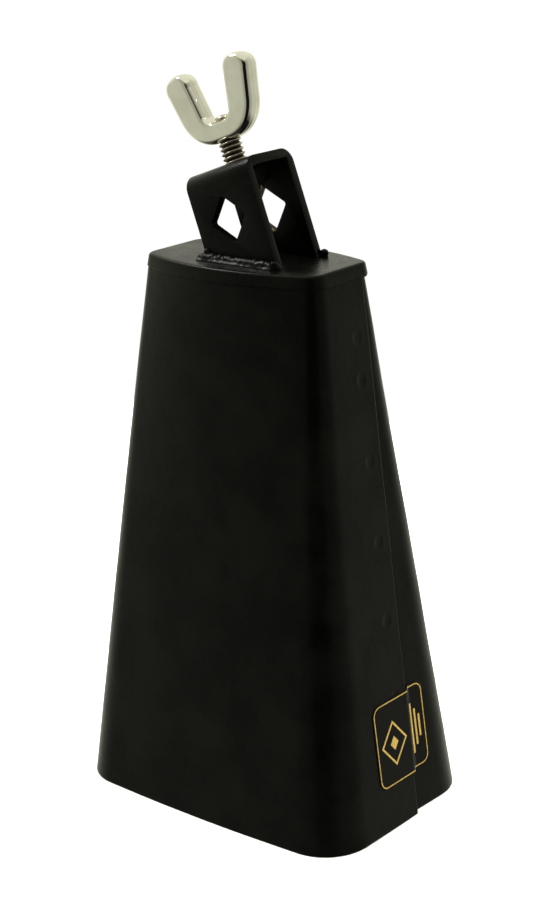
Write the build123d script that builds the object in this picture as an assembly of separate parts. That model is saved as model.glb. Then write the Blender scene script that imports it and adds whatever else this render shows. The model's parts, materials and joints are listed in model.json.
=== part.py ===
from build123d import *
from math import cos, radians, sin, tan
import os

# Mountable cowbell, millimetres. The origin is the centre of the mouth plane, +Z runs up the bell,
# +X is a narrow side, where the lap seam and the label are, and -Y is the front wide face.

# Bell body. Widths are along X, depths along Y at the ends of the wide faces; a bow is how much
# further a wide face stands out at its middle. "top" sizes are those at the sheets' upper ends.
body_height = 152.4
sheet = 1.5
mouth_width = 95.0
mouth_depth = 62.9
mouth_bow = 1.65
mouth_corner = 14.0
top_width = 59.3
top_depth = 22.3
top_bow = 6.1
top_corner = 5.2

# Lap seam: the front sheet's flange lies outside the rear sheet's, spot-welded through both. It
# splays out a little to clear it, and the rear sheet is set in by a bend just behind the seam.
seam_to_rear_mouth = 26.75
seam_to_rear_top = 3.45
lap = 12.0
flange_splay = 0.95
set_in_gap = 0.3
rear_corner_out_mouth = 0.7
rear_corner_out_top = -1.0
corner_share_of_room = 0.9
weld_to_seam = 5.0
weld_first_height = 35.5
weld_pitch = 21.8
weld_last_below_top = 18.4
weld_dimple = 3.6
weld_dimple_depth = 0.35

# Cap: a pressed lid that stands on the rims of both shells.
cap_plate = 2.0
cap_rim_wall = 2.45
cap_rim_height = 3.5
cap_overhang = 0.25
cap_edge_round = 0.9
cap_rear_corner = 3.7
cap_draft = 7.5

# Mounting bracket: a bent strap, leaning over in the XZ plane, with a square hole set on its
# corner in each leg for the holder's rod, and a tapped hole in the bridge for the wing screw.
strap_width = 22.4
strap_thickness = 2.45
strap_height = 26.1
strap_spread = 19.0
strap_bend_inside = 0.5
strap_bend_outside = 4.0
strap_lean = 19.5
strap_offset = 3.57
rod_hole_side = 9.1
rod_hole_corner = 0.8
rod_hole_height = 12.25
bead_radius = 2.2

# Wing screw, 1/4 in: its sizes are along or across its own axis.
stud_diameter = 6.35
stud_reach = 15.9
stud_clearance = 0.05
point_diameter = 4.8
point_length = 1.6
neck_diameter = 4.4
head_gap = 6.0
dome_height = 1.2
bar_height = 5.8
bar_half_length = 7.4
arm_width_root = 8.0
arm_width_tip = 8.8
arm_length = 18.2
arm_splay = 13.0
head_thickness = 5.8
head_outer_bend = 10.6
head_inner_bend = 2.8
head_tip_round = 3.9
head_edge_round = 2.0

# Label: thin vinyl on the +X side, across the step of the seam.
label_width = 24.2
label_height = 24.5
label_centre_height = 24.0
label_centre_y = 1.8
label_corner = 3.2
label_thickness = 0.15
label_ramp = 2.6

shell_top = body_height - cap_rim_height
past = 1.0


def between(mouth_value, top_value, z):
    """A size of the tapering body at height z."""
    return mouth_value + (top_value - mouth_value) * z / shell_top


def half_width(z):
    return between(mouth_width, top_width, z) / 2


def half_depth(z):
    return between(mouth_depth, top_depth, z) / 2


def seam_y(z):
    """Where the front sheet's flange ends, at height z."""
    return half_depth(z) - between(seam_to_rear_mouth, seam_to_rear_top, z)


def flange_x(y, z):
    """The outer skin of the front sheet's flange, which is one plane on each side."""
    return half_width(z) + tan(radians(flange_splay)) * (y + half_depth(z))


def rear_corner_x(z):
    return half_width(z) + between(rear_corner_out_mouth, rear_corner_out_top, z)


def rear_x(y, z):
    """The outer skin of the rear sheet from its bend behind the seam to its corner."""
    bend = seam_y(z) + set_in_gap
    start = flange_x(bend, z) - sheet
    return start + (rear_corner_x(z) - start) * (y - bend) / (half_depth(z) - bend)


def wide_face(half_span, z, inset):
    """The bowed outline of the -Y wide face at height z, from one corner to the other."""
    d = half_depth(z) - inset
    crown = d + between(mouth_bow, top_bow, z)
    return ThreePointArc((-half_span, -d), (0, -crown), (half_span, -d))


def channel_outline(z, inset, corner_x, sides, corner):
    """One sheet's outline at height z: the -Y wide face, and flanges that run along sides."""
    w = corner_x - inset
    right = [(w, inset - half_depth(z))] + [(x - inset, y) for x, y in sides]
    left = [(-x, y) for x, y in reversed(right)]
    outline = make_face([wide_face(w, z, inset), Polyline(*right, *left)])
    corners = outline.vertices().group_by(Axis.Y)[0]
    return Pos(0, 0, z) * fillet(corners, corner - inset)


def channel_shell(outline):
    """A tapering sheet channel, open at both ends and towards +Y, from its outline's function."""
    outer = [outline(z, 0, 0) for z in (0, shell_top)]
    inner = [outline(z, sheet, past) for z in (-past, shell_top + past)]
    return loft(outer, ruled=True) - loft(inner, ruled=True)


def front_outline(z, inset, longer):
    lip = seam_y(z) + longer
    corner = between(mouth_corner, top_corner, z)
    corner_x = flange_x(inset - half_depth(z), z)
    return channel_outline(z, inset, corner_x, [(flange_x(lip, z), lip)], corner)


def rear_outline(z, inset, longer):
    """Drawn the other way round, with its wide face at -Y, so each y below is the real one's minus."""
    bend, lip = seam_y(z) + set_in_gap, seam_y(z) - lap - longer
    sides = [(flange_x(y, z) - sheet, -y) for y in (bend, lip)]
    room = half_depth(z) - bend
    corner = min(between(mouth_corner, top_corner, z), corner_share_of_room * room)
    return channel_outline(z, inset, rear_corner_x(z), sides, corner)


def cap_outline(inset):
    """The closed outline of the body at the sheets' upper ends, moved inwards by inset."""
    w, d = half_width(shell_top) - inset, half_depth(shell_top) - inset
    front = wide_face(w, shell_top, inset)
    sides = [Line((w, -d), (w, d)), Line((-w, d), (-w, -d))]
    outline = make_face([front, mirror(front, about=Plane.XZ), *sides])
    outline = fillet(outline.vertices().group_by(Axis.Y)[-1], cap_rear_corner - inset)
    return fillet(outline.vertices().group_by(Axis.Y)[0], top_corner - inset)


def weld_heights():
    """Spot welds at an even pitch, then the last one close under the cap."""
    last = body_height - weld_last_below_top
    heights = []
    z = weld_first_height
    while z < last - weld_pitch / 3:
        heights.append(z)
        z += weld_pitch
    return heights + [last]


def dimples(side, depth_in, outward):
    """The electrode marks of one side's spot welds; depth_in is how deep that skin lies."""
    ball = (weld_dimple**2 / 4 + weld_dimple_depth**2) / (2 * weld_dimple_depth)
    marks = []
    for z in weld_heights():
        y = seam_y(z) - weld_to_seam
        x = flange_x(y, z) - depth_in + outward * (ball - weld_dimple_depth)
        marks.append(Pos(side * x, y, z) * Sphere(ball))
    return marks


def front_shell():
    return channel_shell(front_outline) - dimples(1, 0, 1) - dimples(-1, 0, 1)


def rear_shell():
    shell = mirror(channel_shell(rear_outline), about=Plane.XZ)
    return shell - dimples(1, 2 * sheet, -1) - dimples(-1, 2 * sheet, -1)


def top_cap():
    """A lid whose rim leans in upwards, with the rounded edge and the pocket under its plate."""
    lid = Pos(0, 0, shell_top) * extrude(cap_outline(-cap_overhang), cap_rim_height, taper=cap_draft)
    lid = fillet(lid.edges().group_by(Axis.Z)[-1], cap_edge_round)
    pocket = extrude(cap_outline(cap_rim_wall - cap_overhang), cap_rim_height - cap_plate)
    return lid - Pos(0, 0, shell_top) * pocket


# The bracket and the screw are drawn upright on the bracket's own axis, then leaned over.
bracket_place = Pos(strap_offset, 0, body_height) * Rot(0, -strap_lean, 0)
head_underside = strap_height + head_gap


def across(sketch, depth):
    """A sketch drawn in the bracket's own XZ plane, as a solid centred on y = 0."""
    return extrude(Plane.XZ * sketch, depth / 2, both=True)


def mount_bracket():
    trim = strap_width / 2 * tan(radians(strap_lean)) + past
    inside_spread = strap_spread - 2 * strap_thickness
    inside_top = strap_height - strap_thickness
    outer = Pos(0, (strap_height - trim) / 2) * Rectangle(strap_spread, strap_height + trim)
    inner = Pos(0, (inside_top - trim - past) / 2) * Rectangle(inside_spread, inside_top + trim + past)
    outer = fillet(outer.vertices().group_by(Axis.Y)[-1], strap_bend_outside)
    inner = fillet(inner.vertices().group_by(Axis.Y)[-1], strap_bend_inside)
    strap = extrude(Plane.YZ * (outer - inner), strap_width / 2, both=True)
    rod_hole = Rot(0, 0, 45) * RectangleRounded(rod_hole_side, rod_hole_side, rod_hole_corner)
    strap -= Pos(0, 0, rod_hole_height) * across(rod_hole, 2 * strap_spread)
    strap -= Pos(0, 0, strap_height) * Cylinder(stud_diameter / 2 + stud_clearance, 3 * strap_thickness)
    below_cap = Pos(0, 0, body_height - strap_height) * Box(2 * mouth_width, mouth_width, 2 * strap_height)
    return bracket_place * strap - below_cap


def bracket_weld(side):
    """The fillet bead along the outside of one leg, run past both ends of the leg."""
    run = strap_width / cos(radians(strap_lean))
    root = Pos(strap_offset, side * strap_spread / 2, body_height)
    bead = Rot(0, 90, 0) * Cylinder(bead_radius, run)
    bead += [Pos(end * run / 2, 0, 0) * Sphere(bead_radius) for end in (-1, 1)]
    quarter = Box(2 * run, bead_radius, bead_radius, align=(Align.CENTER, Align.MIN, Align.MIN))
    if side < 0:
        quarter = mirror(quarter, about=Plane.XZ)
    return root * (bead & quarter)


def standing_cylinder(diameter, bottom, top):
    upright = (Align.CENTER, Align.CENTER, Align.MIN)
    return Pos(0, 0, bottom) * Cylinder(diameter / 2, top - bottom, align=upright)


def clamp_stud():
    """The threaded shank, and the narrower neck that the head is cast on to, domed at its end."""
    shank_end = head_underside - stud_reach + point_length
    shank = standing_cylinder(stud_diameter, shank_end, head_underside)
    neck = standing_cylinder(neck_diameter, head_underside, head_underside + bar_height + dome_height)
    neck = fillet(neck.edges().group_by(Axis.Z)[-1], dome_height - 0.1)
    return bracket_place * (shank + neck)


def stud_point():
    end = head_underside - stud_reach
    point = standing_cylinder(point_diameter, end, end + point_length)
    point = chamfer(point.edges().group_by(Axis.Z)[0], point_length / 4)
    return bracket_place * point


def wing_head():
    """A bar across the stud with two broad arms that splay upwards from its ends."""
    splay = radians(arm_splay)
    middle = head_underside + bar_height / 2

    def arm_edge(along, out):
        """A point beside the right arm's centre line, which starts at the end of the bar."""
        return (
            bar_half_length + along * sin(splay) + out * cos(splay),
            middle + along * cos(splay) - out * sin(splay),
        )

    def edge_meets(height, out):
        """Where that arm's inner or outer edge crosses a level."""
        along = (height - middle + out * sin(splay)) / cos(splay)
        return arm_edge(along, out)

    root, tip = arm_width_root / 2, arm_width_tip / 2
    right = [
        edge_meets(middle - bar_height / 2, root),
        arm_edge(arm_length, tip),
        arm_edge(arm_length, -tip),
        edge_meets(middle + bar_height / 2, -root),
    ]
    left = [(-x, z) for x, z in reversed(right)]
    outline = make_face(Polyline(*right, *left, close=True))
    for (x, z), radius in zip(right, (head_outer_bend, head_tip_round, head_tip_round, head_inner_bend)):
        pair = [v for v in outline.vertices() if abs(abs(v.X) - x) < 0.01 and abs(v.Y - z) < 0.01]
        outline = fillet(pair, radius)
    head = across(outline, head_thickness)
    head = fillet(head.edges().filter_by(Axis.Y, reverse=True), head_edge_round)
    head -= Pos(0, 0, middle) * Cylinder(neck_diameter / 2, 3 * bar_height)
    return bracket_place * head


def label():
    """Two flats and a short ramp down the step, cut to a rounded rectangle."""
    front, rear = label_centre_y - label_width, label_centre_y + label_width
    sections = []
    for z in (label_centre_height - label_height, label_centre_height + label_height):
        step, foot = seam_y(z), seam_y(z) + label_ramp
        skin = [(flange_x(y, z), y) for y in (front, step)] + [(rear_x(y, z), y) for y in (foot, rear)]
        face = [(x + label_thickness, y) for x, y in reversed(skin)]
        sections.append(Pos(0, 0, z) * make_face(Polyline(*skin, *face, close=True)))
    cut = Pos(half_width(label_centre_height), label_centre_y, label_centre_height) * extrude(
        Plane.YZ * RectangleRounded(label_width, label_height, label_corner), mouth_width / 4, both=True
    )
    return loft(sections, ruled=True) & cut


pieces = {
    "front_shell": front_shell(),
    "rear_shell": rear_shell(),
    "top_cap": top_cap(),
    "mount_bracket": mount_bracket(),
    "bracket_weld_front": bracket_weld(-1),
    "bracket_weld_rear": bracket_weld(1),
    "clamp_stud": clamp_stud(),
    "stud_point": stud_point(),
    "wing_head": wing_head(),
    "label": label(),
}

os.makedirs("parts", exist_ok=True)
for name, shape in pieces.items():
    export_step(shape, f"parts/{name}.step")
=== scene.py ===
import json
from math import atan2, cos, hypot, pi, radians, sin, sqrt, tan

import bmesh
import bpy
from mathutils import Matrix, Vector


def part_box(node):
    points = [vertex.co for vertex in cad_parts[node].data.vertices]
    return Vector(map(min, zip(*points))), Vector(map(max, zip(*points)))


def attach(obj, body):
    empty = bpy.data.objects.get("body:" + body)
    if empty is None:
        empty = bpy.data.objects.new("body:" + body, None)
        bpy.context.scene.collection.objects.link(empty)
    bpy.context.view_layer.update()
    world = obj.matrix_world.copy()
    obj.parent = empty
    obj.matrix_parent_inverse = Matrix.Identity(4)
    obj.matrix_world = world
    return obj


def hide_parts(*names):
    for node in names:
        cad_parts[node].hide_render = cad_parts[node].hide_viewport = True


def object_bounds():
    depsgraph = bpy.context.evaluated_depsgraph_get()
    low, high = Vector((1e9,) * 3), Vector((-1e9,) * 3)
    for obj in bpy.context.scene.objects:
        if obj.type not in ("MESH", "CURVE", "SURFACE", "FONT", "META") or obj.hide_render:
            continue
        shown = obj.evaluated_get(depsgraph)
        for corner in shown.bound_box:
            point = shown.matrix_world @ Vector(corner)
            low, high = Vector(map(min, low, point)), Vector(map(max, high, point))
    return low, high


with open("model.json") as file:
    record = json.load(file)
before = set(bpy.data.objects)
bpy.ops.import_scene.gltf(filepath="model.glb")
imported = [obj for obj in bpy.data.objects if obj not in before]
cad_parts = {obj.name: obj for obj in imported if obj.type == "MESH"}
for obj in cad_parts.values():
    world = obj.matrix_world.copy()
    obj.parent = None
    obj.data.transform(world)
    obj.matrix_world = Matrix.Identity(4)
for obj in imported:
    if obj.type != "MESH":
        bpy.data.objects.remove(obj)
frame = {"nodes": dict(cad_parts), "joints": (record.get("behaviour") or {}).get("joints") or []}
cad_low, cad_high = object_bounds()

# ---- The bell's two sheets ------------------------------------------------------------------
# Two channels of 1.5 mm steel sheet, tapering from mouth to cap. The front one's flanges lap over
# the rear one's on the narrow sides, spot-welded through, and all is powder-coated black.

mm = 0.001
mouth_z = cad_low.z
shell_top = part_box("front_shell")[1].z
sheet = 1.5 * mm
rim_round = 0.35 * mm
row_pitch = 0.75 * mm

mouth_width, top_width = 95.0 * mm, 59.3 * mm
mouth_depth, top_depth = 62.9 * mm, 22.3 * mm
mouth_bow, top_bow = 1.65 * mm, 6.1 * mm
mouth_corner, top_corner = 14.0 * mm, 5.2 * mm
seam_to_rear_mouth, seam_to_rear_top = 26.75 * mm, 3.45 * mm
lap = 12.0 * mm
flange_splay = 0.95
set_in_gap = 0.3 * mm
weld_strip = 9.0 * mm
rear_corner_out_mouth, rear_corner_out_top = 0.7 * mm, -1.0 * mm
corner_share_of_room = 0.9

weld_to_seam = 5.0 * mm
weld_first_height = 35.5 * mm
weld_pitch = 21.8 * mm
weld_last_height = 134.0 * mm


class Value:
    """An output of a node tree. Arithmetic on it adds Math nodes to the same tree."""

    def __init__(self, tree, socket):
        self.tree, self.socket = tree, socket

    def math(self, operation, *others):
        return self.tree.math(operation, self, *others)

    def __add__(self, other):
        return self.math("ADD", other)

    def __sub__(self, other):
        return self.math("SUBTRACT", other)

    def __rsub__(self, other):
        return self.tree.math("SUBTRACT", other, self)

    def __mul__(self, other):
        return self.math("MULTIPLY", other)

    def __truediv__(self, other):
        return self.math("DIVIDE", other)

    def __rtruediv__(self, other):
        return self.tree.math("DIVIDE", other, self)

    def __pow__(self, other):
        return self.math("POWER", other)

    def __abs__(self):
        return self.math("ABSOLUTE")

    def __lt__(self, other):
        return self.math("LESS_THAN", other)

    def __gt__(self, other):
        return self.math("GREATER_THAN", other)

    __radd__, __rmul__ = __add__, __mul__

    def least(self, other):
        return self.math("MINIMUM", other)

    def most(self, other):
        return self.math("MAXIMUM", other)

    def ramp(self, start, end, low=0.0, high=1.0):
        """A smooth step from low to high as this value goes from start to end."""
        places = {"Value": self, "From Min": start, "From Max": end, "To Min": low, "To Max": high}
        return self.tree.add("ShaderNodeMapRange", {"interpolation_type": "SMOOTHSTEP"}, places)

    def scaled(self, length):
        """This vector, times a number."""
        places = {0: self, "Scale": length}
        return self.tree.add("ShaderNodeVectorMath", {"operation": "SCALE"}, places)

    def parts(self):
        """The X, Y and Z of this vector."""
        return [self.tree.add("ShaderNodeSeparateXYZ", {}, {0: self}, axis) for axis in range(3)]


class Tree:
    """A node tree being written, for a material or for geometry."""

    def __init__(self, group):
        self.group = group

    def add(self, kind, settings=None, inputs=None, output=0):
        """Adds a node: its settings first, then each input's value or link. Gives one output."""
        node = self.group.nodes.new(kind)
        for name, value in (settings or {}).items():
            setattr(node, name, value)
        for place, value in (inputs or {}).items():
            for one in value if isinstance(value, list) else [value]:
                if isinstance(one, Value):
                    self.group.links.new(one.socket, node.inputs[place])
                elif one is not None:
                    node.inputs[place].default_value = one
        return Value(self, node.outputs[output])

    def math(self, operation, *terms):
        """One Math node on values and numbers."""
        return self.add("ShaderNodeMath", {"operation": operation}, dict(enumerate(terms)))


class Finish(Tree):
    """A material with one Principled shader."""

    def __init__(self, name, **constants):
        self.material = bpy.data.materials.new(name)
        self.material.use_nodes = True
        super().__init__(self.material.node_tree)
        self.shader = self.group.nodes["Principled BSDF"]
        for place, value in constants.items():
            self.shader.inputs[place.replace("_", " ")].default_value = value
        self.place = self.add("ShaderNodeTexCoord", output="Object")

    def noise(self, size, detail=2.0, roughness=0.5, stretch=(1, 1, 1), output="Fac"):
        """Noise whose features are about size metres across."""
        scaled = self.add("ShaderNodeMapping", {}, {"Vector": self.place, "Scale": stretch})
        places = {"Vector": scaled, "Scale": 1 / size, "Detail": detail, "Roughness": roughness}
        return self.add("ShaderNodeTexNoise", {}, places, output)

    def blend(self, share, first, second):
        """One colour going over to another."""
        settings = {"data_type": "RGBA", "clamp_factor": True}
        return self.add("ShaderNodeMix", settings, {0: share, 6: first, 7: second}, 2)

    def bump(self, height, depth, under=None):
        """Relief of that depth in metres, on top of another relief."""
        places = {"Height": height, "Distance": depth, "Strength": 1.0, "Normal": under}
        return self.add("ShaderNodeBump", {}, places)

    def feed(self, **links):
        for place, value in links.items():
            self.group.links.new(value.socket, self.shader.inputs[place.replace("_", " ")])


class Shape(Tree):
    """A Geometry Nodes tree whose sizes are named inputs."""

    def __init__(self, name, **sizes):
        super().__init__(bpy.data.node_groups.new(name, "GeometryNodeTree"))
        face = self.group.interface
        face.new_socket("Geometry", in_out="OUTPUT", socket_type="NodeSocketGeometry")
        face.new_socket("Geometry", in_out="INPUT", socket_type="NodeSocketGeometry")
        self.name, self.sizes, self.sockets = name, sizes, {}
        for size, value in sizes.items():
            kind = {int: "Int", float: "Float"}.get(type(value), "Vector")
            socket = face.new_socket(size, in_out="INPUT", socket_type="NodeSocket" + kind)
            self.sockets[size] = socket.identifier
        self.given = self.group.nodes.new("NodeGroupInput")
        self.start = Value(self, self.given.outputs["Geometry"])
        self.position = self.add("GeometryNodeInputPosition")
        self.normal = self.add("GeometryNodeInputNormal")

    def __getattr__(self, size):
        return Value(self, self.given.outputs[size])

    def noise(self, size, detail=2.0, output="Fac", seed=0.0):
        """Noise whose features are about size metres across; a seed gives another field."""
        places = {"Vector": self.position, "W": seed, "Scale": 1 / size, "Detail": detail}
        return self.add("ShaderNodeTexNoise", {"noise_dimensions": "4D"}, places, output)

    def shift(self, geometry, offset):
        return self.add("GeometryNodeSetPosition", {}, {"Geometry": geometry, "Offset": offset})

    def line(self, count, start, step):
        """Points along a line."""
        places = {"Count": count, "Start Location": start, "Offset": step}
        return self.add("GeometryNodeMeshLine", {"mode": "OFFSET"}, places)

    def joined(self, *several):
        return self.add("GeometryNodeJoinGeometry", {}, {"Geometry": list(several)})

    def close(self, geometry, material, smooth=True):
        """Ends the tree: instances made real, smooth shading, and the material set."""
        real = self.add("GeometryNodeRealizeInstances", {}, {"Geometry": geometry})
        shaded = self.add("GeometryNodeSetShadeSmooth", {}, {"Geometry": real, "Shade Smooth": smooth})
        places = {"Geometry": shaded, "Material": material}
        done = self.add("GeometryNodeSetMaterial", {}, places)
        end = self.group.nodes.new("NodeGroupOutput")
        self.group.links.new(done.socket, end.inputs["Geometry"])

    def grown(self, mesh):
        """What the tree makes of a mesh, as a plain mesh."""
        seedling = bpy.data.objects.new(self.name, mesh)
        bpy.context.scene.collection.objects.link(seedling)
        modifier = seedling.modifiers.new(self.name, "NODES")
        modifier.node_group = self.group
        for size, value in self.sizes.items():
            modifier[self.sockets[size]] = value
        evaluated = seedling.evaluated_get(bpy.context.evaluated_depsgraph_get())
        plain = bpy.data.meshes.new_from_object(evaluated)
        bpy.data.objects.remove(seedling)
        material = plain.materials[-1]
        plain.materials.clear()
        plain.materials.append(material)
        return plain


def show(name, mesh, body, slot, *nodes):
    """Puts a finished mesh in the scene, in place of those CAD nodes."""
    mesh.name = name
    piece = bpy.data.objects.new(name, mesh)
    bpy.context.scene.collection.objects.link(piece)
    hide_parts(*nodes)
    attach(piece, body)
    return piece


def closed_mesh(name, points, faces, flat_above=radians(50)):
    """A mesh of these faces, merged, turned outwards, smooth but for edges sharper than that."""
    mesh = bpy.data.meshes.new(name)
    mesh.from_pydata(points, [], faces)
    body = bmesh.new()
    body.from_mesh(mesh)
    bmesh.ops.remove_doubles(body, verts=body.verts, dist=0.001 * mm)
    bmesh.ops.dissolve_degenerate(body, edges=body.edges, dist=0.0005 * mm)
    bmesh.ops.recalc_face_normals(body, faces=body.faces)
    body.to_mesh(mesh)
    body.free()
    mesh.shade_smooth()
    mesh.set_sharp_from_angle(angle=flat_above)
    return mesh


def ring_faces(rings, count):
    """The quads between neighbouring rings of count points each."""
    faces = []
    for ring in range(rings - 1):
        for k in range(count):
            here, there = ring * count + k, ring * count + (k + 1) % count
            faces.append((here, there, there + count, here + count))
    return faces


def between(mouth_value, top_value, z):
    """A size of the tapering body at height z."""
    return mouth_value + (top_value - mouth_value) * (z - mouth_z) / (shell_top - mouth_z)


def half_width(z):
    return between(mouth_width, top_width, z) / 2


def half_depth(z):
    return between(mouth_depth, top_depth, z) / 2


def seam_y(z):
    return half_depth(z) - between(seam_to_rear_mouth, seam_to_rear_top, z)


def flange_x(y, z):
    """The outer skin of the front sheet's flange."""
    return half_width(z) + tan(radians(flange_splay)) * (y + half_depth(z))


def rear_x(y, z):
    """The outer skin of the rear sheet, from its bend behind the seam to its corner."""
    bend = seam_y(z) + set_in_gap
    start = flange_x(bend, z) - sheet
    corner_x = half_width(z) + between(rear_corner_out_mouth, rear_corner_out_top, z)
    return start + (corner_x - start) * (y - bend) / (half_depth(z) - bend)


def spread(start, end, count, with_end=False):
    """Count even steps from one value or point to another."""
    return [start + (end - start) * (k / count) for k in range(count + with_end)]


def half_outline(corner_x, depth, bow, radius, slope, stops, columns):
    """Points and outward normals from the -Y face's middle, round the corner and along the side.

    The side starts at (corner_x, -depth), leans by slope, and then runs from stop to stop; columns
    says into how many steps the face, the corner and each run of the side are divided.
    """
    face_radius = (corner_x**2 + bow**2) / (2 * bow)
    face_centre = Vector((0, face_radius - depth - bow))
    lean = sqrt(1 + slope**2)
    centre_y = radius - depth
    for _ in range(6):
        centre_x = corner_x + slope * (centre_y + depth) - radius * lean
        centre_y = face_centre.y - sqrt((face_radius - radius) ** 2 - centre_x**2)
    centre = Vector((centre_x, centre_y))
    out = (centre - face_centre).normalized()
    turn_start, turn_end = atan2(out.y, out.x), -atan2(slope, 1)
    points, normals = [], []
    for angle in spread(-pi / 2, turn_start, columns[0]):
        normals.append(Vector((cos(angle), sin(angle))))
        points.append(face_centre + normals[-1] * face_radius)
    for angle in spread(turn_start, turn_end, columns[1]):
        normals.append(Vector((cos(angle), sin(angle))))
        points.append(centre + normals[-1] * radius)
    here = centre + Vector((cos(turn_end), sin(turn_end))) * radius
    for stop, count in zip(stops, columns[2:]):
        along = (stop - here).normalized()
        for point in spread(here, stop, count):
            points.append(point)
            normals.append(Vector((along.y, -along.x)))
        here = stop
    return points + [here], normals + [normals[-1]]


def ribbon(points, normals, shrink):
    """One sheet's half section: its outer skin, its rounded lip, and its inner skin back again."""
    edge = max(rim_round - shrink, 0.02 * mm)
    along = Vector((-normals[-1].y, normals[-1].x))
    outer = [p - n * shrink for p, n in zip(points, normals)]
    inner = [p - n * (sheet - shrink) for p, n in zip(points, normals)]
    outer[-1], inner[-1] = outer[-1] - along * rim_round, inner[-1] - along * rim_round
    lip = []
    for end, out in ((outer[-1], normals[-1]), (inner[-1], -normals[-1])):
        centre = end - out * edge
        bend = [centre + out * edge * cos(a) + along * edge * sin(a) for a in (0.5, 1.05, pi / 2)]
        lip += bend if out == normals[-1] else bend[::-1]
    return outer + lip + inner[::-1]


def rim_rows(low, high, pitch):
    """Heights, and how far the rounded rims at both ends draw each row in."""
    angles = [0, pi / 6, pi / 3]
    rows = [(low + rim_round * (1 - cos(a)), rim_round * (1 - sin(a))) for a in angles]
    count = round((high - low - 2 * rim_round) / pitch)
    rows += [(z, 0.0) for z in spread(low + rim_round, high - rim_round, count, True)]
    return rows + [(high - rim_round * (1 - cos(a)), rim_round * (1 - sin(a))) for a in angles[::-1]]


def channel(name, outline):
    """The closed mesh of one sheet, from the function that gives its half outline at a height."""
    points, rows = [], rim_rows(mouth_z, shell_top, row_pitch)
    for z, shrink in rows:
        half = ribbon(*outline(z), shrink)
        other = [Vector((-p.x, p.y)) for p in half[::-1]]
        ring = half + other[1:-1]
        points += [(p.x, p.y, z) for p in ring]
    count, last = len(ring), len(half) - 1
    faces = ring_faces(len(rows), count)
    skin = len(outline(mouth_z)[0])
    wall = [(k, k + 1, last - 1 - k, last - k) for k in range(skin - 1)]
    lip = tuple(range(skin - 1, len(half) - skin + 1))
    for base in (0, (len(rows) - 1) * count):
        for strip in (wall, [lip]):
            faces += [tuple(base + k for k in face) for face in strip]
            faces += [tuple(base + (count - k) % count for k in face) for face in strip]
    return closed_mesh(name, points, faces)


def front_half(z):
    """The front sheet's half outline, with a finer mesh on the strip that the spot welds are on."""
    lip = seam_y(z)
    stops = [Vector((flange_x(y, z), y)) for y in (lip - weld_strip, lip)]
    bow, radius = between(mouth_bow, top_bow, z), between(mouth_corner, top_corner, z)
    slope = tan(radians(flange_splay))
    return half_outline(half_width(z), half_depth(z), bow, radius, slope, stops, (24, 14, 10, 22))


def rear_half(z):
    """The rear sheet's half outline, turned round: its y is measured the other way."""
    bend, lip, depth = seam_y(z) + set_in_gap, seam_y(z) - lap, half_depth(z)
    stops = [Vector((flange_x(y, z) - sheet, -y)) for y in (bend, lip)]
    bow = between(mouth_bow, top_bow, z)
    radius = min(between(mouth_corner, top_corner, z), corner_share_of_room * (depth - bend))
    corner_x = rear_x(depth, z)
    slope = (stops[0].x - corner_x) / (depth - bend)
    return half_outline(corner_x, depth, bow, radius, slope, stops, (24, 14, 12, 24))


def black_powder_coat():
    """Semi-matt black with fine grain, faint mottling and an orange-peel skin."""
    coat = Finish("black_powder_coat", IOR=1.5, Specular_IOR_Level=0.07)
    grain = coat.noise(0.35 * mm, 3.0, 0.6)
    peel = coat.noise(2.2 * mm, 2.0)
    cloud = coat.noise(16 * mm, 3.0, 0.55)
    tone = coat.blend(cloud.ramp(0.35, 0.7), (0.0010, 0.0010, 0.0008, 1), (0.0028, 0.0027, 0.0021, 1))
    coat.feed(
        Base_Color=tone,
        Roughness=cloud.ramp(0.3, 0.7, 0.24, 0.36) + (grain - 0.5) * 0.15,
        Normal=coat.bump(peel, 0.05 * mm, coat.bump(grain, 0.035 * mm)),
    )
    return coat.material


powder_coat = black_powder_coat()


def weld_place(height, depth_in):
    """The middle of a spot weld on the +X side, that far below the front sheet's outer skin."""
    z = mouth_z + height
    y = seam_y(z) - weld_to_seam
    return Vector((flange_x(y, z) - depth_in, y, z))


def welded_sheet(name, mesh, depth_in):
    """Adds the electrode marks on both sides, and the sheet's faint waves."""
    first, last = weld_place(weld_first_height, depth_in), weld_place(weld_last_height, depth_in)
    step = weld_place(weld_first_height + weld_pitch, depth_in) - first
    tree = Shape(
        name, First=first, Step=step, Count=5, Last=last, Mark_radius=1.9 * mm, Mark_depth=0.12 * mm,
        Squeezed_rise=0.03 * mm, Wave_height=0.5 * mm, Wave_length=34 * mm, Seed=3.0,
    )
    marks = tree.joined(tree.line(tree.Count, tree.First, tree.Step), tree.line(1, tree.Last, tree.Step))
    mirrored = tree.add("GeometryNodeTransform", {}, {"Geometry": marks, "Scale": (-1, 1, 1)})
    places = {"Geometry": tree.joined(marks, mirrored)}
    near = tree.add("GeometryNodeProximity", {"target_element": "POINTS"}, places, 1) / tree.Mark_radius
    dish = near.ramp(0.55, 1.0, 1.0, 0.0) * tree.Mark_depth
    ring = near.ramp(0.8, 1.1) * near.ramp(1.1, 1.7, 1.0, 0.0) * tree.Squeezed_rise
    field = tree.noise(tree.Wave_length, 2.0, "Color", tree.Seed)
    centred = tree.add("ShaderNodeVectorMath", {"operation": "SUBTRACT"}, {0: field, 1: (0.5, 0.5, 0.5)})
    waved = tree.shift(tree.start, centred.scaled(tree.Wave_height))
    tree.close(tree.shift(waved, tree.normal.scaled(ring - dish)), powder_coat)
    return tree.grown(mesh)


front_sheet = welded_sheet("front_welds", channel("front_sheet", front_half), 0.0)
show("front_sheet", front_sheet, "bell", "black_paint", "front_shell")

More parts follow.
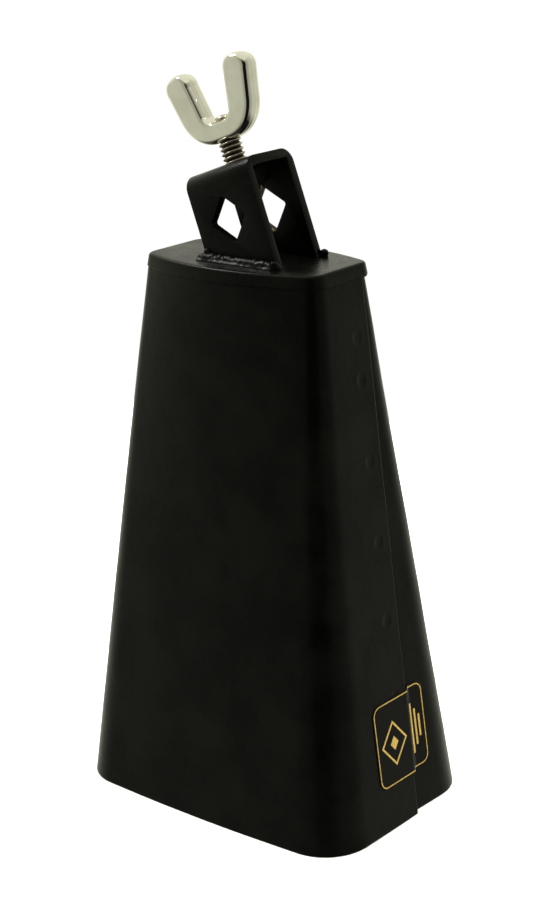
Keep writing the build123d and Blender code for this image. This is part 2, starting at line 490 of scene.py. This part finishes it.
rear_mesh = channel("rear_sheet", rear_half)
rear_mesh.transform(Matrix.Scale(-1, 4, (0, 1, 0)))
rear_mesh.flip_normals()
rear_sheet = welded_sheet("rear_welds", rear_mesh, 2 * sheet)
show("rear_sheet", rear_sheet, "bell", "black_paint", "rear_shell")

# ---- Cap ------------------------------------------------------------------------------------
# A pressed steel lid that stands on the rims of both sheets, seam-brazed from inside and painted
# with them. A thin uneven line of filler shows where its rim meets the sheets.

cap_low, cap_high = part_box("top_cap")
cap_overhang = 0.25 * mm
cap_rim_wall = 2.45 * mm
cap_plate = 2.0 * mm
cap_edge_round = 0.9 * mm
cap_lower_edge_round = 0.3 * mm
cap_rear_corner = 3.7 * mm
cap_draft = tan(radians(7.5))
lid_flat_inset = 2.2 * mm
pocket_inset = cap_rim_wall - cap_overhang
filler_inset, filler_drop = 0.16 * mm, 0.05 * mm


def cap_ring(inset, z):
    """The cap's closed outline at a height, moved inwards by inset."""
    w, d = half_width(shell_top), half_depth(shell_top)
    quarters = []
    for corner in (top_corner, cap_rear_corner):
        points, normals = half_outline(w, d, top_bow, corner, 0.0, [Vector((w, 0))], (26, 9, 7))
        quarters.append([p - n * inset for p, n in zip(points, normals)])
    front = quarters[0] + [Vector((p.x, -p.y)) for p in quarters[1][-2::-1]]
    ring = front + [Vector((-p.x, p.y)) for p in front[-2:0:-1]]
    return [(p.x, p.y, z) for p in ring]


def rib_points(points, base, count, k):
    """Adds points straight across a flat end, from the front at k to the rear; gives their numbers."""
    ribs = 10
    front, rear = base + k % count, base + (count // 2 - k) % count
    if front == rear:
        return [front] * (ribs + 1)
    first = len(points)
    points += [tuple(p) for p in spread(Vector(points[front]), Vector(points[rear]), ribs)[1:]]
    return [front, *range(first, len(points)), rear]


def cap_mesh():
    """Rings from the pocket's ceiling down, out and over the lid, with both flat ends filled."""
    lean_in = cap_draft * (cap_high.z - cap_low.z)
    rings = [(pocket_inset, cap_high.z - cap_plate), (pocket_inset, cap_low.z)]
    for angle in spread(0, pi / 2, 4, True):
        r = cap_lower_edge_round
        rings.append((r * (1 - sin(angle)) - cap_overhang, cap_low.z + r * (1 - cos(angle))))
    for angle in spread(0, pi / 2, 8, True):
        r = cap_edge_round
        rings.append((lean_in + r * (1 - cos(angle)) - cap_overhang, cap_high.z - r * (1 - sin(angle))))
    rings.append((lid_flat_inset, cap_high.z))
    points = [point for inset, z in rings for point in cap_ring(inset, z)]
    count = len(points) // len(rings)
    faces = ring_faces(len(rings), count)
    for base in (0, (len(rings) - 1) * count):
        lines = [rib_points(points, base, count, k) for k in range(count // 4, -count // 4 - 1, -1)]
        for one, two in zip(lines, lines[1:]):
            for k in range(len(one) - 1):
                faces.append(tuple(dict.fromkeys((one[k], two[k], two[k + 1], one[k + 1]))))
    return closed_mesh("cap", points, faces, radians(40))


def filler_line():
    """The filler as a lumpy ring that shows a little below the lid's rim."""
    tree = Shape(
        "filler", Thickness=0.34 * mm, Lump_height=0.34 * mm, Lump_length=2.6 * mm, Step=0.35 * mm, Seed=7.0
    )
    curve = tree.add("GeometryNodeMeshToCurve", {}, {0: tree.start})
    even = tree.add("GeometryNodeResampleCurve", {"mode": "LENGTH"}, {"Curve": curve, "Length": tree.Step})
    circle = tree.add("GeometryNodeCurvePrimitiveCircle", {}, {"Resolution": 10, "Radius": tree.Thickness})
    bead = tree.add("GeometryNodeCurveToMesh", {}, {"Curve": even, "Profile Curve": circle})
    mostly_thin = (tree.noise(tree.Lump_length, 3.0, "Fac", tree.Seed) - 0.62) * 2.0
    tree.close(tree.shift(bead, tree.normal.scaled(mostly_thin * tree.Lump_height)), powder_coat)
    ring = bpy.data.meshes.new("filler_ring")
    points = cap_ring(filler_inset, cap_low.z - filler_drop)
    ring.from_pydata(points, [(k, (k + 1) % len(points)) for k in range(len(points))], [])
    return tree.grown(ring)


cap = cap_mesh()
cap.materials.append(powder_coat)
show("cap", cap, "bell", "black_paint", "top_cap")
show("cap_filler", filler_line(), "bell", "black_paint")

# ---- Rod bracket ----------------------------------------------------------------------------
# A strap of 2.45 mm steel bent to a U and leaned over, with a square hole punched on its corner in
# each leg. Paint has rounded its edges, and bare burrs show where the punch broke through.

screw_turn = next(joint for joint in frame["joints"] if joint["name"] == "screw_turn")
axis = Vector(screw_turn["axis"]).normalized()
strap_top = Vector(screw_turn["pos_m"])
across_axis = Vector((axis.z, 0, -axis.x))
upright = Matrix((across_axis, (0, 1, 0), axis)).transposed().to_4x4()
on_bracket = Matrix.Translation(strap_top) @ upright
strap_height = 26.1 * mm
strap_thickness = 2.45 * mm
leg_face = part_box("mount_bracket")[1].y
rod_hole_side = 9.1 * mm
rod_hole_height = 12.25 * mm
paint_round = 0.35 * mm


def painted_edges(node, width):
    """A copy of a CAD node with its tessellation merged and its edges rounded by that width."""
    mesh = frame["nodes"][node].data.copy()
    body = bmesh.new()
    body.from_mesh(mesh)
    bmesh.ops.remove_doubles(body, verts=body.verts, dist=0.002 * mm)
    bmesh.ops.dissolve_limit(body, angle_limit=radians(0.5), verts=body.verts, edges=body.edges)
    body.to_mesh(mesh)
    body.free()
    mesh.materials.clear()
    blank = bpy.data.objects.new(node, mesh)
    bpy.context.scene.collection.objects.link(blank)
    bevel = blank.modifiers.new("edges", "BEVEL")
    bevel.width, bevel.segments, bevel.angle_limit = width, 3, radians(35)
    bevel.limit_method, bevel.use_clamp_overlap = "ANGLE", True
    done = bpy.data.meshes.new_from_object(blank.evaluated_get(bpy.context.evaluated_depsgraph_get()))
    bpy.data.objects.remove(blank)
    done.shade_smooth()
    done.set_sharp_from_angle(angle=radians(30))
    return done


bracket = painted_edges("mount_bracket", paint_round)
bracket.materials.append(powder_coat)
show("rod_bracket", bracket, "bell", "black_paint", "mount_bracket")


def bare_burr():
    """Torn bare steel with a yellow tint of rust and plating."""
    burr = Finish("bare_burr", Metallic=0.85)
    stain = burr.noise(0.5 * mm, 2.0)
    burr.feed(
        Base_Color=burr.blend(stain.ramp(0.4, 0.6), (0.30, 0.17, 0.05, 1), (0.62, 0.50, 0.30, 1)),
        Roughness=stain.ramp(0.3, 0.7, 0.3, 0.55),
    )
    return burr.material


# Where flakes are left: the leg's side, the hole's edge, and from where to where along that edge.
burr_stretches = ((1, 1, 0.0, 0.75), (1, 2, 0.8, 1.0), (-1, 0, 0.45, 0.95))
flakes_along_edge = 20


def punch_burrs():
    """Small torn flakes along the holes' edges, on the legs' inner faces."""
    tree = Shape("punch_burrs", Flake=0.75 * mm, Share=0.7, Seed=11)
    flake = tree.add("GeometryNodeMeshIcoSphere", {}, {"Radius": tree.Flake, "Subdivisions": 1})
    places = {"Probability": tree.Share, "Seed": tree.Seed}
    pick = tree.add("FunctionNodeRandomValue", {"data_type": "BOOLEAN"}, places, 3)
    places = {"Min": (0.25, 0.1, 0.1), "Max": (1.0, 0.35, 0.5), "Seed": tree.Seed}
    size = tree.add("FunctionNodeRandomValue", {"data_type": "FLOAT_VECTOR"}, places, 0)
    places = {"Min": (0, 0, 0), "Max": (6.28, 6.28, 6.28), "Seed": tree.Seed}
    turn = tree.add("FunctionNodeRandomValue", {"data_type": "FLOAT_VECTOR"}, places, 0)
    places = {"Points": tree.start, "Selection": pick, "Instance": flake, "Scale": size, "Rotation": turn}
    flakes = tree.add("GeometryNodeInstanceOnPoints", {}, places)
    tree.close(flakes, bare_burr(), smooth=False)
    edge = bpy.data.meshes.new("hole_edges")
    reach = rod_hole_side / sqrt(2) - 0.1 * mm
    points = []
    for side, quarter, first, last in burr_stretches:
        a, b = (Vector((cos(t * pi / 2), sin(t * pi / 2))) * reach for t in (quarter, quarter + 1))
        y = side * (leg_face - strap_thickness + 0.05 * mm)
        for p in spread(a.lerp(b, first), a.lerp(b, last), round((last - first) * flakes_along_edge)):
            points.append(on_bracket @ Vector((p.x, y, rod_hole_height - strap_height + p.y)))
    edge.from_pydata(points, [], [])
    return tree.grown(edge)


show("punch_burrs", punch_burrs(), "bell", "black_paint")

# ---- Weld beads -----------------------------------------------------------------------------
# A bead of arc weld along the foot of each leg, laid in overlapping puddles and painted over. The
# front one starts with a lump that climbs the leg's edge, and both end in a bigger puddle.

puddles_in_bead = 30


def weld_bead(name, node, puddle, first, last):
    """Puddles along the leg's foot, a row of smaller ones along the toe, and lumps at the ends."""
    low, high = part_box(node)
    side = 1 if high.y > 0 else -1
    root_y = low.y if side > 0 else high.y
    tree = Shape(
        name, Count=puddles_in_bead, Puddle=puddle, Wander=0.22 * mm,
        Start=Vector((low.x + 1.0 * mm, root_y + side * 0.25 * mm, low.z + 0.15 * mm)),
        Step=Vector(((high.x - low.x - 3.6 * mm) / (puddles_in_bead - 1), 0, 0)),
        Toe_out=Vector((-0.6 * mm, side * 1.45 * mm, -0.35 * mm)), Toe=0.85 * mm, First_lump=first,
        Last_lump=last, Lump=1.25 * mm, Voxel=0.17 * mm, Seed=5,
    )

    def puddles(points, radius, least, seed):
        ball = tree.add("GeometryNodeMeshIcoSphere", {}, {"Radius": radius, "Subdivisions": 3})
        places = {"Min": (least, least, least), "Max": (1.12, 1.0, 1.08), "Seed": seed}
        size = tree.add("FunctionNodeRandomValue", {"data_type": "FLOAT_VECTOR"}, places, 0)
        places = {"Points": points, "Instance": ball, "Scale": size}
        return tree.add("GeometryNodeInstanceOnPoints", {}, places)

    spine = tree.line(tree.Count, tree.Start, tree.Step)
    jitter = tree.add(
        "FunctionNodeRandomValue", {"data_type": "FLOAT_VECTOR"},
        {"Min": (-1, -0.6, -1), "Max": (1, 0.6, 1), "Seed": tree.Seed}, 0,
    )
    crest = tree.shift(spine, jitter.scaled(tree.Wander))
    toe = tree.shift(spine, tree.Toe_out)
    ends = tree.joined(tree.line(1, tree.First_lump, tree.Step), tree.line(1, tree.Last_lump, tree.Step))
    rows = tree.joined(
        puddles(crest, tree.Puddle, 0.86, 1),
        puddles(toe, tree.Toe, 0.9, 2),
        puddles(ends, tree.Lump, 0.95, 3),
    )
    real = tree.add("GeometryNodeRealizeInstances", {}, {"Geometry": rows})
    places = {"Mesh": real, "Voxel Size": tree.Voxel, "Interior Band Width": 0.6 * mm, "Density": 1.0}
    solid = tree.add("GeometryNodeMeshToVolume", {"resolution_mode": "VOXEL_SIZE"}, places)
    places = {"Volume": solid, "Voxel Size": tree.Voxel, "Threshold": 0.1}
    skin = tree.add("GeometryNodeVolumeToMesh", {"resolution_mode": "VOXEL_SIZE"}, places)
    places = {"Value": tree.position, "Iterations": 7}
    melted = tree.add("GeometryNodeBlurAttribute", {"data_type": "FLOAT_VECTOR"}, places)
    tree.close(tree.add("GeometryNodeSetPosition", {}, {"Geometry": skin, "Position": melted}), powder_coat)
    return tree.grown(bpy.data.meshes.new(name))


front_low, front_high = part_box("bracket_weld_front")
rear_low, rear_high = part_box("bracket_weld_rear")
show(
    "weld_front",
    weld_bead(
        "weld_front", "bracket_weld_front", 1.85 * mm,
        Vector((front_low.x + 2.3 * mm, -leg_face + 0.1 * mm, front_low.z + 2.0 * mm)),
        Vector((front_high.x - 2.9 * mm, -leg_face - 0.5 * mm, front_low.z + 1.2 * mm)),
    ),
    "bell", "black_paint", "bracket_weld_front",
)
show(
    "weld_rear",
    weld_bead(
        "weld_rear", "bracket_weld_rear", 1.5 * mm,
        Vector((rear_low.x + 2.0 * mm, leg_face + 0.4 * mm, rear_low.z + 0.7 * mm)),
        Vector((rear_high.x - 1.9 * mm, leg_face + 0.5 * mm, rear_low.z + 0.8 * mm)),
    ),
    "bell", "black_paint", "bracket_weld_rear",
)

# ---- Clamp screw: stud and point --------------------------------------------------------------
# A 1/4 in x 20 stud of plated steel, with painted shade as dark brown in its thread's roots, and a turned
# point that pinches the rod. Its narrower neck runs up through the cast head and is peened to a dome.

stud_radius = 6.35 / 2 * mm
thread_pitch = 1.27 * mm
head_gap = 6.0 * mm
stud_reach = 15.9 * mm
point_length = 1.6 * mm
point_radius = 2.4 * mm
bar_height = 5.8 * mm
foot_radius = 2.0915 * mm
neck_radius = 2.2 * mm
neck_inside = 1.0 * mm
dome_wall, dome_height = 0.25 * mm, 1.2 * mm


def turned(name, profile, columns=64):
    """A piece turned on the screw's axis, from (radius, height) points with its ends on the axis."""
    points = [
        (r * cos(2 * pi * k / columns), r * sin(2 * pi * k / columns), z)
        for r, z in profile
        for k in range(columns)
    ]
    return closed_mesh(name, points, ring_faces(len(profile), columns), radians(40))


def stud_steel():
    """Dull plated steel: bright crests, thread roots painted dark brown as painted shade, uneven stain,
    fine turning lines.
    """
    steel = Finish("stud_steel", Metallic=1.0)
    crest = steel.add("ShaderNodeAttribute", {"attribute_name": "crest"}, {}, 2)
    stain = steel.noise(1.6 * mm, 3.0)
    # Painted shade: the thread's roots are darkened to brown, and the stain noise darkens at random on top.
    crest_vs_root_shade_and_stain = crest.ramp(0.05, 0.8) * stain.ramp(0.2, 0.55, 0.55, 1.0)
    steel.feed(
        Base_Color=steel.blend(crest_vs_root_shade_and_stain, (0.045, 0.030, 0.016, 1), (0.50, 0.46, 0.38, 1)),
        Roughness=crest_vs_root_shade_and_stain.ramp(0, 1, 0.55, 0.28),
        Normal=steel.bump(steel.noise(0.18 * mm, 2.0), 0.01 * mm),
    )
    return steel.material


def thread():
    """A V thread on a tube of points, chamfered at the foot, with its ends closed on the axis."""
    tree = Shape(
        "thread", Radius=stud_radius, Pitch=thread_pitch, Depth=0.74 * mm, Foot_radius=foot_radius,
        Bottom=head_gap - stud_reach + point_length, Length=stud_reach - point_length + 1.2 * mm,
        Columns=73, Rows=241,
    )
    places = {"Size X": 1.0, "Size Y": 1.0, "Vertices X": tree.Columns, "Vertices Y": tree.Rows}
    grid = tree.add("GeometryNodeMeshGrid", {}, places)
    u, v, _ = tree.position.parts()
    turns, along = u + 0.5, v + 0.5
    height = along * tree.Length
    saw = (height / tree.Pitch - turns).math("FRACT")
    crest = abs(saw * 2.0 - 1.0).ramp(0.08, 0.92)
    chamfer = height + tree.Foot_radius
    open_rows = (along > 0.0005) * (along < 0.9995)
    radius = (tree.Radius - (1.0 - crest) * tree.Depth).least(chamfer) * open_rows
    angle = turns * (2 * pi)
    places = {0: radius * angle.math("COSINE"), 1: radius * angle.math("SINE"), 2: height + tree.Bottom}
    place = tree.add("ShaderNodeCombineXYZ", {}, places)
    places = {"Geometry": grid, "Name": "crest", "Value": crest}
    marked = tree.add("GeometryNodeStoreNamedAttribute", {"data_type": "FLOAT", "domain": "POINT"}, places)
    wound = tree.add("GeometryNodeSetPosition", {}, {"Geometry": marked, "Position": place})
    sealed = tree.add("GeometryNodeMergeByDistance", {}, {"Geometry": wound, "Distance": 0.004 * mm})
    tree.close(tree.joined(sealed, tree.start), stud_steel())
    return tree


dome_foot = head_gap + bar_height
dome = turned("neck_dome", [
    (0, dome_foot - neck_inside), (neck_radius, dome_foot - neck_inside),
    (neck_radius, dome_foot + dome_wall),
    *[
        (neck_radius * cos(a), dome_foot + dome_wall + (dome_height - dome_wall) * sin(a))
        for a in spread(0.2, pi / 2, 6)
    ],
    (0, dome_foot + dome_height),
])
dome.attributes.new("crest", "FLOAT", "POINT").data.foreach_set("value", [1.0] * len(dome.vertices))
stud = thread().grown(dome)
stud.transform(on_bracket)
show("stud", stud, "wing_screw", "stud_steel", "clamp_stud")

point_foot = head_gap - stud_reach
point_top = point_foot + point_length
point = turned("stud_point", [
    (0, point_top), (point_radius - 0.1 * mm, point_top), (point_radius, point_top - 0.1 * mm),
    (point_radius, point_top - 1.1 * mm), (point_radius - 0.15 * mm, point_top - 1.3 * mm),
    (point_radius - 0.4 * mm, point_foot + 0.02 * mm), (point_radius - 0.7 * mm, point_foot),
    (1.0 * mm, point_foot), (0.6 * mm, point_foot + 0.2 * mm), (0, point_foot + 0.25 * mm),
])
point.attributes.new("crest", "FLOAT", "POINT").data.foreach_set("value", [0.8] * len(point.vertices))
point.materials.append(stud.materials[0])
point.transform(on_bracket)
show("screw_tip", point, "screw_point", "stud_steel", "stud_point")

# ---- Clamp screw: wing head -----------------------------------------------------------------
# A zinc casting, chrome-plated bright: a bar across the stud and two broad arms that splay up from
# its ends. Its faces are nearly flat, with soft edges and a faint parting ridge round the middle.

bar_half_length = 7.4 * mm
arm_width_root, arm_width_tip = 8.0 * mm, 8.8 * mm
arm_length = 18.2 * mm
arm_splay = radians(13.0)
head_thickness = 5.8 * mm
head_outer_bend, head_inner_bend = 10.6 * mm, 2.8 * mm
head_tip_round = 3.9 * mm
head_edge_round = 1.9 * mm
parting_ridge = 0.05 * mm
bar_middle = head_gap + bar_height / 2


def rounded_corner(start, corner, end, radius, runs):
    """Points from start to end past a corner rounded to that radius."""
    come, leave = (corner - start).normalized(), (end - corner).normalized()
    bend = come.angle_signed(leave)
    setback = radius * tan(abs(bend) / 2)
    first, last = corner - come * setback, corner + leave * setback
    out = (come - leave).normalized()
    centre = corner - out * hypot(radius, setback)
    points = spread(start, first, runs[0])
    for share in spread(0, 1, runs[1]):
        aim = (first - centre).copy()
        aim.rotate(Matrix.Rotation(-bend * share, 2))
        points.append(centre + aim)
    return points + spread(last, end, runs[2], True)


def arm_point(along, out):
    """A point in the head's plane, that far up the right arm and outwards from its middle."""
    return Vector((
        bar_half_length + along * sin(arm_splay) + out * cos(arm_splay),
        bar_middle + along * cos(arm_splay) - out * sin(arm_splay),
    ))


def arm_edge(height, out):
    """Where the arm's line at that distance outwards crosses a height."""
    return arm_point((height - bar_middle + out * sin(arm_splay)) / cos(arm_splay), out)


def head_section(middle, out, half, thick):
    """One rounded rectangle across the head, with the parting ridge at its middle."""
    corner = min(head_edge_round, half * 0.98, thick * 0.98)
    ring = []
    for cu, cv, start in ((1, 1, 0), (-1, 1, 1), (-1, -1, 2), (1, -1, 3)):
        for share in spread(0, 1, 12, True):
            a = (start + share) * pi / 2
            u = cu * (half - corner) + corner * cos(a)
            v = cv * (thick - corner) + corner * sin(a)
            ring.append((u, v))
        u, v = ring[-1]
        if start % 2 == 1:
            ring += [(u, v * 0.25), (u + cu * parting_ridge, 0.0), (u, -v * 0.25)]
    return [(middle.x + out.x * u, v, middle.y + out.y * u) for u, v in ring]


def head_line(height, side):
    """One edge of the head, from its middle at that height along the bar and up the arm."""
    root, tip = side * arm_width_root / 2, side * arm_width_tip / 2
    bend = head_outer_bend if side > 0 else head_inner_bend
    return rounded_corner(
        Vector((0, height)), arm_edge(height, root), arm_point(arm_length, tip), bend, (16, 36, 24)
    )


def rounded_off(half, radius, back):
    """A half width of the head, that far back from the end of an arm, which is rounded by that radius."""
    near = min(back, radius)
    return half - radius + sqrt(radius**2 - (radius - near) ** 2)


def wing_mesh():
    """Sections across the head, from the middle of the bar to the arm's rounded tip, and mirrored."""
    inner = head_line(bar_middle + bar_height / 2, -1)
    outer = head_line(bar_middle - bar_height / 2, 1)
    along = (arm_point(1, 0) - arm_point(0, 0)).normalized()
    end, across = (inner[-1] + outer[-1]) / 2, outer[-1] - inner[-1]
    rings = []
    for inside, outside in zip(inner, outer):
        middle, width = (inside + outside) / 2, outside - inside
        if (end - middle).dot(along) > head_tip_round:
            rings.append(head_section(middle, width.normalized(), width.length / 2, head_thickness / 2))
    for share in spread(1, 0, 20, True):
        back = head_tip_round * share**2
        thick = max(rounded_off(head_thickness / 2, head_edge_round, back), 0.3 * mm)
        half = rounded_off(across.length / 2, head_tip_round, back)
        rings.append(head_section(end - along * back, across.normalized(), half, thick))
    rings = [[(-x, y, z) for x, y, z in ring] for ring in rings[:0:-1]] + rings
    count = len(rings[0])
    points = [point for ring in rings for point in ring]
    ends = [tuple(range(count)), tuple(range(len(points) - count, len(points)))]
    return closed_mesh("wing_head", points, ring_faces(len(rings), count) + ends, radians(60))


def bright_chrome():
    """Bright chrome on a casting: a trace of orange peel, haze and handling marks."""
    chrome = Finish("bright_chrome", Metallic=1.0)
    cloud = chrome.noise(5 * mm, 3.0)
    smear = chrome.noise(1.1 * mm, 2.0, 0.5, (1, 1, 0.35))
    chrome.feed(
        Base_Color=chrome.blend(cloud.ramp(0.35, 0.65), (0.66, 0.65, 0.56, 1), (0.72, 0.71, 0.63, 1)),
        Roughness=smear.ramp(0.35, 0.7, 0.03, 0.08),
        Normal=chrome.bump(chrome.noise(2.4 * mm, 1.0), 0.01 * mm),
    )
    return chrome.material


wing = wing_mesh()
wing.materials.append(bright_chrome())
wing.transform(on_bracket)
show("wing", wing, "wing_screw", "bright_chrome", "wing_head")

# ---- Label ----------------------------------------------------------------------------------
# Thin black vinyl with a clear gloss film, printed in gold. It is stuck on the narrow side across
# the seam, where it tents over the step from the front sheet down to the rear one.

label_low, label_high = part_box("label")
label_middle = (label_low + label_high) / 2
label_half = (label_high - label_low) / 2
label_corner = 3.2 * mm
label_thickness = 0.15 * mm
label_bedding = 0.06 * mm
label_ramp = 2.6 * mm


def label_skin(y, z):
    """How far out the sheet under the label is, with the label's ramp down the step."""
    step = seam_y(z)
    if y < step:
        return flange_x(y, z)
    foot = step + label_ramp
    if y > foot:
        return rear_x(y, z)
    share = (y - step) / label_ramp
    share = share * share * (3 - 2 * share)
    return flange_x(step, z) + (rear_x(foot, z) - flange_x(step, z)) * share


def label_ring(inset):
    """The label's rounded rectangle, moved inwards by inset."""
    corner = max(label_corner - inset, 0.2 * mm)
    half_y, half_z = label_half.y - inset, label_half.z - inset
    ring = []
    for cy, cz, start in ((1, 1, 0), (-1, 1, 1), (-1, -1, 2), (1, -1, 3)):
        centre_y, centre_z = cy * (half_y - corner), cz * (half_z - corner)
        for share in spread(0, 1, 8, True):
            a = (start + share) * pi / 2
            ring.append(Vector((centre_y + corner * cos(a), centre_z + corner * sin(a))))
        goal = Vector((-centre_y, cz * half_z)) if start % 2 == 0 else Vector((cy * half_y, -centre_z))
        ring += spread(ring[-1], goal, 30)[1:]
    return ring


def label_mesh():
    """Rings from the middle of the underside out, round a thin rolled edge, and in over the top."""
    insets = [0.05 * mm, *spread(0.5 * mm, label_half.z - 0.35 * mm, 26, True)]
    levels = [(inset, -label_bedding) for inset in insets[::-1]]
    levels += [(0.0, -label_bedding), (0.0, label_thickness * 0.6)]
    levels += [(inset, label_thickness) for inset in insets]
    points = []
    for inset, lift in levels:
        for p in label_ring(inset):
            y, z = label_middle.y + p.x, label_middle.z + p.y
            points.append((label_skin(y, z) + lift, y, z))
    count = len(points) // len(levels)
    faces = ring_faces(len(levels), count)
    faces += [tuple(range(len(points) - count, len(points))), tuple(range(count))]
    mesh = closed_mesh("label", points, faces, radians(50))
    chart = mesh.uv_layers.new(name="UVMap")
    for loop in mesh.loops:
        place = mesh.vertices[loop.vertex_index].co
        chart.data[loop.index].uv = (
            (place.y - label_middle.y) / (2 * label_half.y) + 0.5,
            (place.z - label_middle.z) / (2 * label_half.z) + 0.5,
        )
    return mesh


def printed_vinyl():
    """Black film, with a gold rounded border, a hollow lozenge and three bars beside it."""
    vinyl = Finish("printed_vinyl", IOR=1.5, Specular_IOR_Level=0.07)
    u, v, _ = vinyl.add("ShaderNodeUVMap", {"uv_map": "UVMap"}).parts()
    y, z = (u - 0.5) * (2 * label_half.y / mm), (v - 0.5) * (2 * label_half.z / mm)
    wobble = (vinyl.noise(0.7 * mm, 2.0) - 0.5) * 0.12

    def ink(distance, half_line):
        """A printed line: full where the distance to its middle is under half its width."""
        return (abs(distance) + wobble).ramp(half_line - 0.06, half_line + 0.06, 1.0, 0.0)

    border_inset, border_corner = 0.75, 2.5
    print_height, lozenge_place, lozenge_squeeze = -0.4, -4.0, 1.15
    side = abs(y) - (label_half.y / mm - border_inset - border_corner)
    rise = abs(z) - (label_half.z / mm - border_inset - border_corner)
    corner = (side.most(0) ** 2 + rise.most(0) ** 2) ** 0.5
    border = ink(corner + side.most(rise).least(0) - border_corner, 0.15)
    off_level = abs(z - print_height)
    to_lozenge_middle = abs(y - lozenge_place) * lozenge_squeeze + off_level
    printed = border.most(ink(to_lozenge_middle - 6.0, 0.42)).most(ink(to_lozenge_middle, 2.0))
    for place, half_length in ((6.0, 7.2), (7.6, 5.2), (9.2, 3.2)):
        printed = printed.most(ink(y - place, 0.36) * (off_level < half_length))
    wear = vinyl.noise(0.5 * mm, 3.0).ramp(0.3, 0.55, 0.75, 1.0)
    speck = vinyl.noise(0.45 * mm, 4.0, 0.7).ramp(0.5, 0.75)
    film = vinyl.blend(speck, (0.0016, 0.0014, 0.0010, 1), (0.0060, 0.0048, 0.0032, 1))
    vinyl.feed(
        Base_Color=vinyl.blend(printed * wear, film, (0.52, 0.35, 0.085, 1)),
        Roughness=vinyl.noise(6 * mm, 2.0).ramp(0.3, 0.7, 0.24, 0.32),
        Normal=vinyl.bump(vinyl.noise(1.5 * mm, 2.0), 0.012 * mm),
    )
    return vinyl.material


label = label_mesh()
label.materials.append(printed_vinyl())
show("label_film", label, "bell", "label_vinyl", "label")

# ---- Studio ---------------------------------------------------------------------------------
# A small pale floor in a pale tent, which is brighter behind and above. A dark opening low in front
# gives the chrome its black lines. A large soft light hangs overhead, and a small one is the key.

half_floor = 0.3
floor_mesh = bpy.data.meshes.new("floor")
floor_mesh.from_pydata(
    [(x * half_floor, y * half_floor, cad_low.z) for x, y in ((-1, -1), (1, -1), (1, 1), (-1, 1))],
    [],
    [(0, 1, 2, 3)],
)
floor = bpy.data.objects.new("floor", floor_mesh)
bpy.context.scene.collection.objects.link(floor)
floor_paint = Finish("pale_floor", Base_Color=(0.86, 0.86, 0.85, 1), Roughness=0.9)
floor_mesh.materials.append(floor_paint.material)
floor.visible_glossy = False

camera_azimuth = radians(39.67)
camera_elevation = radians(17.85)

world = bpy.data.worlds.new("studio")
bpy.context.scene.world = world
world.use_nodes = True
tent = Tree(world.node_tree)
front_wall, side_wall, back_wall = 0.45, 0.68, 1.03
opening_shade, ground_shade = 0.985, 0.12
tent_warmth = 0.84
background_white = 1.02

x, y, z = tent.add("ShaderNodeTexCoord").parts()
facing_x, facing_y = sin(camera_azimuth), -cos(camera_azimuth)
from_front = abs((x * facing_y - y * facing_x).math("ARCTAN2", x * facing_x + y * facing_y))
wall = from_front.ramp(radians(45), radians(90), front_wall, side_wall)
wall = wall + from_front.ramp(radians(95), radians(140), 0.0, back_wall - side_wall)
opening = from_front.ramp(radians(20), radians(34), 1.0, 0.0) * z.ramp(0.45, 0.65, 1.0, 0.0)
ground = z.ramp(-0.8, -0.45, ground_shade, 1.0)
light = wall.most(z.ramp(0.5, 0.8)) * (1.0 - opening * opening_shade) * ground
seen_directly = tent.add("ShaderNodeLightPath")


def shown(strength):
    """The background is plain white where it is seen directly, and lights the bell by strength."""
    return strength + (background_white - strength) * seen_directly


places = {0: shown(light), 1: shown(light), 2: shown(light * tent_warmth)}
tint = tent.add("ShaderNodeCombineXYZ", {}, places)
world.node_tree.links.new(tint.socket, world.node_tree.nodes["Background"].inputs["Color"])


def soft_light(name, place, towards, size, power):
    """A square light of that size in metres and power in watts."""
    lamp = bpy.data.lights.new(name, "AREA")
    lamp.shape, lamp.size, lamp.energy = "SQUARE", size, power
    holder = bpy.data.objects.new(name, lamp)
    holder.location = place
    holder.rotation_mode = "QUATERNION"
    holder.rotation_quaternion = (Vector(towards) - Vector(place)).to_track_quat("-Z", "Y")
    bpy.context.scene.collection.objects.link(holder)
    return holder


overhead = soft_light("overhead", (0.0, 0.15, 1.2), (0, 0, 0), 1.3, 30.0)
overhead.visible_glossy = False
soft_light("key", (-0.8, -0.15, 1.05), (0, 0, 0.1), 0.3, 9.0)

camera_roll = radians(-1.943)
camera_distance = 531.4 * mm
camera_lens = 76.51
bell_middle = Vector((0, 0, 76.2 * mm))

back = Vector((
    sin(camera_azimuth) * cos(camera_elevation),
    -cos(camera_azimuth) * cos(camera_elevation),
    sin(camera_elevation),
))
level = (-back).cross(Vector((0, 0, 1))).normalized()
rise = level.cross(-back)
aim = bell_middle + level * 3.03 * mm + rise * 20.99 * mm
right = level * cos(camera_roll) + rise * sin(camera_roll)
up = rise * cos(camera_roll) - level * sin(camera_roll)
turn = Matrix((right, up, back)).transposed().to_4x4()
camera = bpy.data.objects.new("camera", bpy.data.cameras.new("camera"))
camera.data.lens = camera_lens
camera.data.sensor_width = 36.0
camera.data.clip_start = 0.01
camera.matrix_world = Matrix.Translation(aim + back * camera_distance) @ turn
bpy.context.scene.collection.objects.link(camera)
bpy.context.scene.camera = camera
bpy.context.scene.view_settings.view_transform = "Standard"
